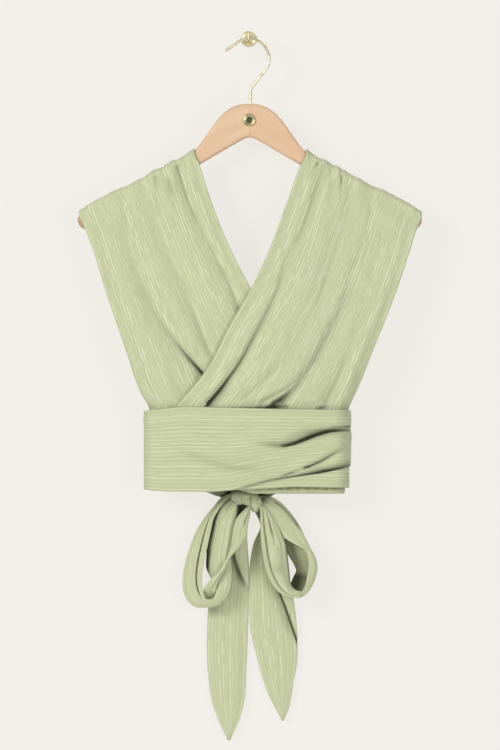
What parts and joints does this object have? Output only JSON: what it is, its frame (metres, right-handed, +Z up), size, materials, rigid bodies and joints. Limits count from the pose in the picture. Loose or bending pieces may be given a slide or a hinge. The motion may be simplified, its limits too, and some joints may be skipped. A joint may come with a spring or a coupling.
{
  "type": "multiway top on a wooden hanger",
  "caption": "Sleeveless wrap top of striped crinkle cloth, tied in a bow below the waist, on a wooden hanger with a wall hook.",
  "frame": {"origin": "middle of the wall hook's back face, where it meets the wall", "axes": "+Z up, +Y into the wall, the front of the garment faces -Y, +X to the right as seen from the front"},
  "size_m": [0.4409, 0.0645, 0.9088],
  "materials": {
    "wall_hook": "satin pale brass",
    "hanger_body": "satin beech",
    "hanger_hook": "satin pale brass",
    "hanger_disc": "satin brass with a dark enamel middle",
    "cloth": "matt crinkle cloth, pale green with broken pale stripes"
  },
  "bodies": {
    "root": {"wall_hook": "wall_hook", "hanger_body": "hanger_body", "hanger_hook": "hanger_hook", "hanger_disc": "hanger_disc", "smocked_band": "cloth", "left_panel": "cloth", "right_panel": "cloth", "under_wrap": "cloth", "over_wrap": "cloth", "tie_left": "cloth", "tie_right": "cloth", "knot": "cloth", "loop_left": "cloth", "loop_right": "cloth", "tail_left": "cloth", "tail_right": "cloth"}
  },
  "joints": []
}
